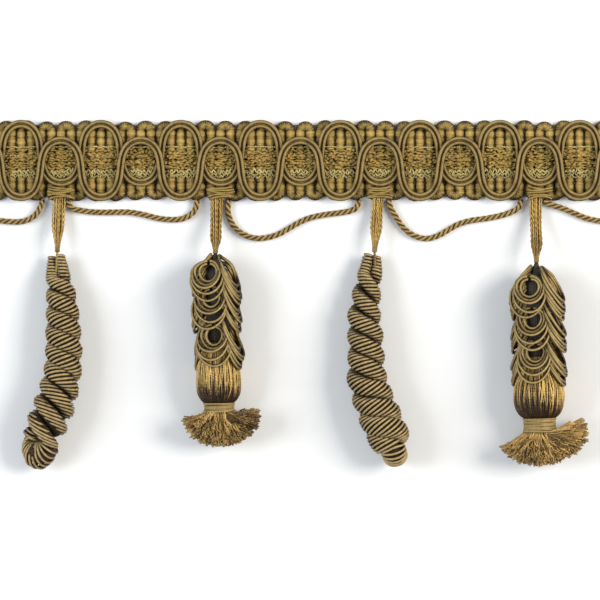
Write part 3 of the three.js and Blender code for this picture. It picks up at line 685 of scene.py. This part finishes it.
for number, drop in DROPS.items():
    axis = smooth_line(drop["axis"], 0.2)
    run = run_length(axis)
    ahead = directions(axis)
    aside, over = flat_sides(axis)
    half = axis[:, 2]
    twisted = np.maximum(run - drop["straight"], 0) / (run[-1] - drop["straight"]) * drop["half_turns"]
    angle = np.radians(np.interp(run, (0, drop["straight"]), (drop["top_angle"], 180)) - 180 * twisted)
    lean = np.radians(np.interp(run, *zip(*drop["leans"])))

    # A row for each place along the coil: its middle, the way out, the way it faces, two half widths,
    # the middle and half width of the whole drop beside it, and whether the coil is turned there.
    plies = []
    for sign in (1, -1):
        out = sign * (np.cos(angle)[:, None] * aside + np.sin(angle)[:, None] * over)
        facing = np.cos(lean)[:, None] * ahead + np.sin(lean)[:, None] * np.cross(out, ahead)
        deep = PLY_DEEP * half
        middle = axis + PLY_OUT * half[:, None] * out
        wide = half * np.interp(run, (0, 42, run[-1]), drop["widths"])
        turned = ease(run, drop["straight"] - 1, drop["straight"] + 3)
        turned = turned * (1 - ease(run, run[-1] - 16, run[-1] - 6))
        plies.append(np.column_stack([middle, out, sign * facing, deep, wide, axis, half, turned]))
    fold = []
    first, last = plies[0][-1, 3:6], ahead[-1]
    for bend in np.linspace(0, 180, 60)[1:-1]:
        reach = np.interp(bend, *zip(*drop["fold_reach"]))
        turn, tilt = math.radians(bend), math.radians(drop["fold_tilt"] * math.sin(math.radians(bend)))
        out = math.cos(turn) * first + math.sin(turn) * last
        facing = -math.sin(turn) * first + math.cos(turn) * last
        facing = math.cos(tilt) * facing - math.sin(tilt) * np.cross(facing, out)
        middle = axis[-1] + PLY_OUT * reach * out
        fold.append(np.concatenate([middle, out, facing, [PLY_DEEP * reach, wide[-1]], axis[-1], [reach, 0]]))
    rows = np.vstack([plies[0], fold, plies[1][::-1]])

    # The rings lie side by side, a step apart measured square to the rings.
    steps = np.diff(rows[:, :3], axis=0)
    square = np.abs(np.einsum("rx,rx->r", steps, rows[1:, 6:9])) / np.linalg.norm(rows[1:, 6:9], axis=1)
    square = np.maximum(square, 0.42 * np.linalg.norm(steps, axis=1))
    folded = slice(len(run), len(run) + len(fold))
    square[folded] = FOLD_STEP * np.linalg.norm(steps[folded], axis=1)
    rings = np.concatenate([[0], np.cumsum(square / RING_STEP)])
    count = np.arange(0, rings[-1], 1 / RING_POINTS)
    rows = np.column_stack([np.interp(count, rings, rows[:, k]) for k in range(rows.shape[1])])
    middles, outs, facings, deep, wide = rows[:, :3], rows[:, 3:6], rows[:, 6:9], rows[:, 9], rows[:, 10]
    hearts, girths, turned = rows[:, 11:14], rows[:, 14], rows[:, 15]
    facings /= np.linalg.norm(facings, axis=1)[:, None]
    across = np.cross(facings, outs)
    across /= np.linalg.norm(across, axis=1)[:, None]
    outs = np.cross(across, facings)
    wind = -2 * np.pi * count
    loose = np.random.default_rng(50 + number)
    stops = np.arange(0, rings[-1] + 3, 0.9)
    puff = np.interp(count, stops, loose.uniform(0.955, 1.035, len(stops)))
    away = (
        ((deep * puff - DROP_GIMP) * np.cos(wind))[:, None] * outs
        + ((wide * puff - DROP_GIMP) * np.sin(wind))[:, None] * across
    )
    coil = middles + away
    coil[:, 2] = np.maximum(coil[:, 2], DROP_GIMP + 0.05)
    # Painted light on the wires: lighter where they face out of their ply and up.
    lit = away / np.linalg.norm(away, axis=1)[:, None] + (0, 0, 0.9)
    wire = thread(coil, DROP_GIMP, corners=8, lit_toward=lit)
    # Painted shade: where the plies are turned, wires in the valleys between them, close to the drop's
    # middle, are darker.
    proud = np.linalg.norm(coil - hearts, axis=1) / (girths - DROP_GIMP)
    wire["painted_light"] *= (1 - 0.26 * turned * (1 - ease(proud, 0.66, 0.94)))[:, None]
    sew(f"coiled_drop_{number}", [wire], drop_finish, [f"twist_drop_{number}"])
    # A dark tube inside the rings: painted shade for the hollow of the coil between the wires.
    inner = np.minimum(deep, wide) - 2 * DROP_GIMP
    coil_shade = thread(middles[8:-8:8], inner[8:-8:8], corners=14, shade=0.2)
    sew(f"drop_coil_shade_{number}", [coil_shade], coil_shade_finish)

# The looped heads: loops of gimp cord sewn to a floss-covered core in columns of tiers, each
# tier of nested loops that hang open over the next one down. The front column faces the viewer.
HEADS = {
    2: {
        "top": (-26.6, -29.0, 6.9), "end": (-25.3, -79.0, 6.9),
        "mould_top": 27.4, "widest": 41.3, "mould_end": 46.4,
        "radius": 6.85, "neck": 4.9, "neck_end": 49.7, "fullness": (0.42, 0.72, 0.93, 0.99),
        "loop_ends": ((11.2, 13.0, 15.2), (19.2, 21.9, 24.0), (31.1, 33.7, 35.6)),
        "side_tilt": 24.0, "dusk": 0.6,
    },
    4: {
        "top": (73.8, -31.8, 7.8), "end": (74.9, -85.2, 7.8),
        "mould_top": 29.4, "widest": 41.5, "mould_end": 48.4,
        "radius": 7.8, "neck": 5.2, "neck_end": 53.1, "fullness": (0.42, 0.6, 0.79, 0.95),
        "loop_ends": ((13.2, 16.0, 17.6), (23.1, 25.7, 27.8), (33.5, 35.6, 38.0)),
        "side_tilt": 30.0, "dusk": 2.4,
    },
}
CORE_RADIUS = 3.9
LOOP_RADIUS = 0.49
# Length, half width and how far each nested loop stands out, from the uppermost to the lowest.
FACE_LOOPS = ((9.9, 4.3, 33.0), (11.3, 4.7, 27.0), (12.6, 5.05, 21.0))
INNER_LOOP = (7.4, 3.7, 9.0)
HEART_LOOP = (5.4, 2.6, 6.0)
ON_CORE = 4.3
FACE_ASIDES = (-2.6, -1.8, -1.15)
FACE_OUT = 2.6
FACING = -6.0
TIER_COUNT = 6
SIDE_COLUMNS = (
    {"facing": 70.0, "aside": 2.2, "out": 1.4, "length": 12.4, "half": 3.8, "tilt": 0.0},
    {"facing": 158.0, "aside": 0.9, "out": -2.4, "length": 12.6, "half": 4.3, "tilt": 0.0},
    {"facing": -112.0, "aside": -1.9, "out": -0.6, "length": 12.2, "half": 4.3, "tilt": 0.0},
    {"facing": -97.0, "aside": -2.9, "out": -0.9, "length": 11.6, "half": 3.2, "tilt": -12.0},
)


def tassel_frame(size):
    """The turn and place that put a piece, made down the Z axis from the origin, into its tassel."""
    top, end = Vector(size["top"]), Vector(size["end"])
    down = (end - top).normalized()
    front = Vector((0, 0, 1))
    right = -down.cross(front)
    turn = Matrix((right, front, -down)).transposed().to_4x4()
    return Matrix.Translation(top) @ turn


def put(size, points):
    """Points given aside, outwards and down a tassel, in its place on the table."""
    matrix = np.array(tassel_frame(size))
    points = np.asarray(points, float) * (1, 1, -1)
    return points @ matrix[:3, :3].T + matrix[:3, 3]


def hanging_loop(size, facing, aside, forward, end, length, half, tilt, play):
    """One loop of gimp, from the core at its top round to the core again, with its end where told."""
    facing = math.radians(facing + play.uniform(-3, 3))
    tilt = math.radians(tilt + play.uniform(-1.5, 1.5))
    half = half + play.uniform(-0.2, 0.2)
    turn = np.linspace(0, 2 * np.pi, 37)
    hang = length / 2 * (1 - np.cos(turn))
    across = 4 * np.linspace(-0.5, 0.5, 37) ** 3 - half * np.sin(turn) * (1 + 0.06 * np.cos(turn))
    out = hang * math.sin(tilt)
    down = end - LOOP_RADIUS - length * math.cos(tilt) + hang * math.cos(tilt)
    lean = play.uniform(-0.05, 0.05) * hang
    drawn = 0.42 + 0.58 * ease(down, -1.0, 4.5)
    across = across * drawn
    line = put(
        size,
        np.column_stack(
            [
                aside * drawn + out * math.sin(facing) + (across + lean) * math.cos(facing),
                forward * drawn + out * math.cos(facing) - (across + lean) * math.sin(facing),
                down,
            ]
        ),
    )
    line[:, 2] = np.maximum(line[:, 2], LOOP_RADIUS + 0.05)
    # Painted light on the loop: lighter on its upper side and a little away from the loop's middle.
    middle = line.mean(axis=0)
    lit = directions(line)
    painted_light = line - middle
    painted_light = painted_light - np.einsum("rx,rx->r", painted_light, lit)[:, None] * lit
    return thread(line, LOOP_RADIUS, corners=8, shade=play.uniform(0.3, 0.6), lit_toward=painted_light * 0.03 + (0, 0, 0.3))


loop_finish = yarn_finish(
    "looped_gimp", (0.43, 0.305, 0.12, 1), (0.020, 0.012, 0.005, 1), 0.34, 1.0, 0.34,
    lit_side_gain=3.6, edge=0.88, depth=0.04,
)
for number, size in HEADS.items():
    play = np.random.default_rng(70 + number)
    loops = []
    for aside, ends in zip(FACE_ASIDES, size["loop_ends"]):
        loops.append(hanging_loop(size, FACING, aside, ON_CORE, ends[0] - 0.9, *INNER_LOOP, play))
        for end, shape in zip(ends, FACE_LOOPS):
            loops.append(hanging_loop(size, FACING, aside, FACE_OUT, end, *shape, play))
    for column in SIDE_COLUMNS:
        for ends in size["loop_ends"]:
            tiers = np.linspace(ends[0] - 0.7, ends[2] + 1.0, TIER_COUNT)
            tiers += play.uniform(-0.3, 0.3, TIER_COUNT)
            for end in tiers:
                length = min(column["length"] + play.uniform(-0.9, 0.9), end - 0.4)
                tilt = size["side_tilt"] + column["tilt"] + play.uniform(-2, 2)
                shape = (length, column["half"], tilt)
                root = (column["facing"], column["aside"], column["out"])
                loops.append(hanging_loop(size, *root, end, *shape, play))
    for aside, ends in zip(FACE_ASIDES, size["loop_ends"]):
        loops.append(hanging_loop(size, FACING, aside + 0.3, ON_CORE, ends[0] - 2.0, *HEART_LOOP, play))
    sew(f"gimp_loops_{number}", loops, loop_finish, [f"looped_head_{number}"])

# The cores and moulds: wound shapes covered lengthwise in floss. The core is painted dark as shade in
# the hollow among the loops, and the mould swells below them into a bulb of loose bright strands that dives
# into the neck.
SKIN_THREADS = 84
POINTS_A_THREAD = 4
BULB_STRANDS = 150
CORE_THREADS = 40


def turned_floss(name, profile, size, threads):
    """A round piece made down the Z axis from rings, with a groove between its lengthwise threads."""
    count = threads * POINTS_A_THREAD
    bpy.ops.object.select_all(action="DESELECT")
    bpy.ops.mesh.primitive_circle_add(vertices=count, radius=profile[0][1] * MM, fill_type="NGON")
    made = bpy.context.object
    made.name = name
    bpy.ops.object.mode_set(mode="EDIT")
    bpy.ops.mesh.select_all(action="SELECT")
    bpy.ops.transform.translate(value=(0, 0, -profile[0][0] * MM))
    for (down, radius), (next_down, next_radius) in zip(profile, profile[1:]):
        bpy.ops.mesh.extrude_region_move(TRANSFORM_OT_translate={"value": (0, 0, (down - next_down) * MM)})
        bpy.ops.transform.resize(value=(next_radius / radius, next_radius / radius, 1))
    bpy.ops.mesh.select_all(action="SELECT")
    bpy.ops.mesh.normals_make_consistent(inside=False)
    bpy.ops.object.mode_set(mode="OBJECT")
    bpy.ops.object.shade_smooth()
    place = np.empty(len(made.data.vertices) * 3)
    made.data.vertices.foreach_get("co", place)
    place = place.reshape(-1, 3)
    thread_turn = np.arctan2(place[:, 1], place[:, 0]) * threads / (2 * np.pi)
    groove = np.abs(np.sin(np.pi * thread_turn))
    place[:, :2] *= (1 - 0.035 * (1 - groove))[:, None]
    made.data.vertices.foreach_set("co", place.ravel())
    made.data.attributes.new("groove", "FLOAT", "POINT").data.foreach_set("value", groove)
    whole = np.floor(thread_turn).astype(int) % threads
    skein = np.random.default_rng(len(name)).uniform(0, 1, threads)
    made.data.attributes.new("shade", "FLOAT", "POINT").data.foreach_set("value", skein[whole])
    matrix = tassel_frame(size)
    matrix.translation *= MM
    made.matrix_world = matrix
    bpy.ops.object.transform_apply(location=True, rotation=True, scale=True)
    return made


def wound_finish(name, light, deep):
    """Floss laid lengthwise and drawn tight: lighter threads, with painted shade in the dark lines between
    them.
    """
    wound = Finish(name, Metallic=0.1, Specular_IOR_Level=0.3)
    groove = wound.node("Attribute", {"attribute_name": "groove"}, {}, "Fac")
    shade = wound.node("Attribute", {"attribute_name": "shade"}, {}, "Fac")
    fine = wound.mottle(1800.0)
    bump = {"Strength": 0.6, "Distance": 0.06 * MM, "Height": fine + shade}
    return wound.wear(
        # Painted shade in the grooves between the threads, and random tone per thread and in patches.
        Base_Color=wound.blend(0.2 + groove * 0.5 + shade * 0.4 + 0.4 * (fine - 0.5), deep, light),
        Roughness=0.45 + 0.2 * shade + 0.1 * fine,
        Normal=wound.node("Bump", {}, bump, "Normal"),
    )


under_finish = wound_finish("wound_mould", (0.16, 0.10, 0.035, 1), (0.02, 0.012, 0.005, 1))
# The core's very dark colour is painted shade among the loops.
core_finish = wound_finish("wound_core", (0.055, 0.044, 0.030, 1), (0.008, 0.009, 0.008, 1))
bulb_finish = yarn_finish(
    "bulb_floss", (0.76, 0.49, 0.145, 1), (0.040, 0.022, 0.014, 1), 0.9, 2.0, 0.27,
    lit_side_gain=2.6, edge=0.84, metal=0.2,
)
for number, size in HEADS.items():
    top, widest, end = size["mould_top"], size["widest"], size["mould_end"]
    upper, lower = widest - top, end - widest
    full = size["fullness"]
    neck = size["neck"] / size["radius"]
    stations = [
        (top - 1.5, 0.30), (top, full[0]), (top + upper * 0.25, full[1]), (top + upper * 0.5, full[2]),
        (top + upper * 0.78, full[3]), (widest, 1.0), (widest + lower * 0.5, 0.96),
        (widest + lower * 0.82, 0.84), (end, neck), (end + 0.3, neck * 0.85),
    ]
    rounded = smooth_line([(d, r * size["radius"], 0.0) for d, r in stations], 0.8)
    mould = turned_floss(f"bulb_mould_{number}", [(d, r - 0.25) for d, r, _ in rounded], size, SKIN_THREADS)
    fit(mould, under_finish)
    lay = np.random.default_rng(80 + number)
    down, radius = rounded[:, 0], rounded[:, 1]
    strands = []
    for k in range(BULB_STRANDS):
        start = lay.integers(0, 5)
        d, r = down[start:], radius[start:]
        drift = np.interp(d, np.linspace(d[0], d[-1], 6), lay.normal(0, 0.035, 6))
        around = 2 * np.pi * k / BULB_STRANDS + drift
        loose = lay.uniform(-0.1, 0.14) * np.sin(np.pi * (d - d[0]) / (d[-1] - d[0]))
        away = np.column_stack([np.sin(around), np.cos(around), np.zeros(len(d))])
        line = put(size, np.column_stack([away[:, :2] * (r - 0.05 + loose)[:, None], d]))
        line[:, 2] = np.maximum(line[:, 2], 0.25)
        # Painted light on each strand's outer side.
        outward = put(size, away) - put(size, away * 0)
        strand = thread(line, lay.uniform(0.15, 0.24), corners=5, shade=lay.uniform(-0.4, 1.1), lit_toward=outward)
        # Painted shade over the lower part of the bulb, where it curves in to the neck; the band rises and
        # falls round the bulb.
        dive = lay.uniform(-2.4, 1.8) + size["dusk"] * math.sin(around[-1])
        dusk = ease(d, widest - 2.0 + dive, end - 1.0 + dive)
        strand["painted_light"] *= (1 - 0.36 * dusk)[:, None]
        strands.append(strand)
    sew(f"bulb_floss_{number}", strands, bulb_finish, [f"mould_{number}"])
    core_profile = [
        (-0.4, 0.4), (0.8, 0.8), (3.2, 1.3), (6.5, CORE_RADIUS), (top, CORE_RADIUS), (top + 0.5, 2.0)
    ]
    core = turned_floss(f"core_floss_{number}", core_profile, size, CORE_THREADS)
    fit(core, core_finish)

# The neck bindings: silk wound round the neck under each bulb, turn on turn, drawn in tight.
BINDING_RADIUS = 0.27
BINDING_STEP = 0.44
DRAWN_IN = 0.35
binding_finish = yarn_finish(
    "binding_silk", (0.42, 0.295, 0.115, 1), (0.075, 0.047, 0.018, 1), 0.7, 2.0, 0.32, lit_side_gain=1.5
)
for number, size in HEADS.items():
    bind = np.random.default_rng(90 + number)
    start, end = size["mould_end"] + 0.25, size["neck_end"]
    turns = []
    angle = np.linspace(0, 2 * np.pi, 49)
    for down in np.arange(start + BINDING_RADIUS, end, BINDING_STEP):
        waist = size["neck"] - DRAWN_IN * math.sin(math.pi * (down - start) / (end - start))
        waist += bind.uniform(-0.09, 0.09)
        tip = bind.uniform(-0.16, 0.16)
        away = np.column_stack([np.cos(angle), np.sin(angle), 0 * angle])
        lengthwise = down + tip * np.cos(angle + bind.uniform(0, 6))
        ring = waist * away + np.column_stack([0 * angle, 0 * angle, lengthwise])
        # Painted light on each turn's outer side, painted shade where it lies against the neck.
        lit_toward = put(size, away) - put(size, away * 0)
        shade = bind.uniform(0.2, 0.7)
        turns.append(thread(put(size, ring), BINDING_RADIUS, corners=7, shade=shade, lit_toward=lit_toward))
    sew(f"neck_silk_{number}", turns, binding_finish, [f"neck_binding_{number}"])

# The ruffs: the yarn left below the neck, cut off level and brushed out into a thick fan of short
# curly threads in tufts, which the table flattens from below.
RUFF_RADIUS = 0.2
RUFF_TUFTS = 84
TUFT_THREADS = 22
THREAD_POINTS = 8
RUFF_NECK = 3.9
LOWEST_TUFT = -48
HIGHEST_TUFT = 60
RUFF_FLAT = 0.62
GOLDEN_SHARE = 0.618034
RUFFS = {
    2: {"left": 12.2, "right": 13.2, "down": 10.6, "fan": (-82, 92), "dark_from": 50, "seed": 3},
    4: {"left": 14.0, "right": 14.6, "down": 10.3, "fan": (-69, 104), "dark_from": 120, "seed": 8},
}
ruff_finish = yarn_finish(
    "cut_yarn", (0.72, 0.46, 0.16, 1), (0.070, 0.040, 0.018, 1), 0.9, 1.0, 0.7,
    lit_side_gain=0.9, metal=0.0, depth=0.03, patch=330.0,
)
for number, size in HEADS.items():
    ruff = RUFFS[number]
    brush = np.random.default_rng(ruff["seed"])
    cut = []
    for tuft in range(RUFF_TUFTS):
        low, high = ruff["fan"]
        tuft_fan = low + (high - low) * ((tuft * GOLDEN_SHARE) % 1)
        tuft_lift = LOWEST_TUFT + (HIGHEST_TUFT - LOWEST_TUFT) * ((tuft + 0.5) / RUFF_TUFTS)
        tuft_lift += brush.uniform(-4, 4)
        tuft_reach = brush.uniform(0.95, 1.03)
        tuft_shade = brush.uniform(0.0, 0.95)
        # Painted shade: tufts at the right of the fan, from the angle dark_from on, are darker.
        tuft_shade -= 0.7 * ease(tuft_fan, ruff["dark_from"], ruff["dark_from"] + 15)
        bow = brush.uniform(-2.2, 2.2)
        for _ in range(TUFT_THREADS):
            fan = math.radians(np.clip(tuft_fan + brush.normal(0, 4.0), low - 3, high + 3))
            lift = math.radians(tuft_lift + brush.normal(0, 5))
            side = ruff["left"] if fan < 0 else ruff["right"]
            reach = 1 / math.hypot(math.sin(fan) / side, max(math.cos(fan), 0) / ruff["down"])
            reach *= tuft_reach * (1 - 0.4 * brush.random() ** 3)
            root = np.array(
                [
                    RUFF_NECK * math.sin(fan) * math.cos(lift) + brush.normal(0, 0.5),
                    RUFF_NECK * math.sin(lift) + brush.normal(0, 0.5),
                    size["neck_end"] - 0.4,
                ]
            )
            tip = np.array(
                [
                    reach * math.sin(fan) * math.cos(lift),
                    RUFF_FLAT * reach * math.sin(lift),
                    size["neck_end"] + 0.2 + reach * math.cos(fan) * math.cos(lift),
                ]
            )
            knee = root + (0.35, 0.5, 0.35) * (tip - root) + (0, 0, 1.2)
            t = np.linspace(0, 1, THREAD_POINTS)[:, None]
            line = (1 - t) ** 2 * root + 2 * t * (1 - t) * knee + t * t * tip
            t = t[:, 0]
            waves, start = brush.uniform(5, 12), brush.uniform(0, 6)
            curl = brush.uniform(0.2, 0.85) * t * t
            line[:, 0] += curl * np.sin(waves * t + start) + bow * t * (1 - t)
            line[:, 1] += curl * np.cos(waves * t + start)
            line[:, 2] += curl * 0.6 * np.sin(waves * t * 0.8 + start)
            line = put(size, line)
            line[:, 2] = np.maximum(line[:, 2], RUFF_RADIUS + 0.02 + 0.8 * brush.random() * t)
            shade = tuft_shade + brush.normal(0, 0.12)
            thick = RUFF_RADIUS * np.linspace(0.85, 1.2, THREAD_POINTS)
            strand = thread(line, thick, corners=4, shade=shade, lit_toward=(0, 0, 1))
            # Painted light on each thread's upper side, fullest partway along it, less at the root and least
            # at the tip.
            strand["painted_light"] *= (0.72 + 0.33 * np.sin(np.pi * (0.2 + 0.75 * t)))[:, None]
            cut.append(strand)
    sew(f"cut_ruff_{number}", cut, ruff_finish, [f"ruff_{number}"])
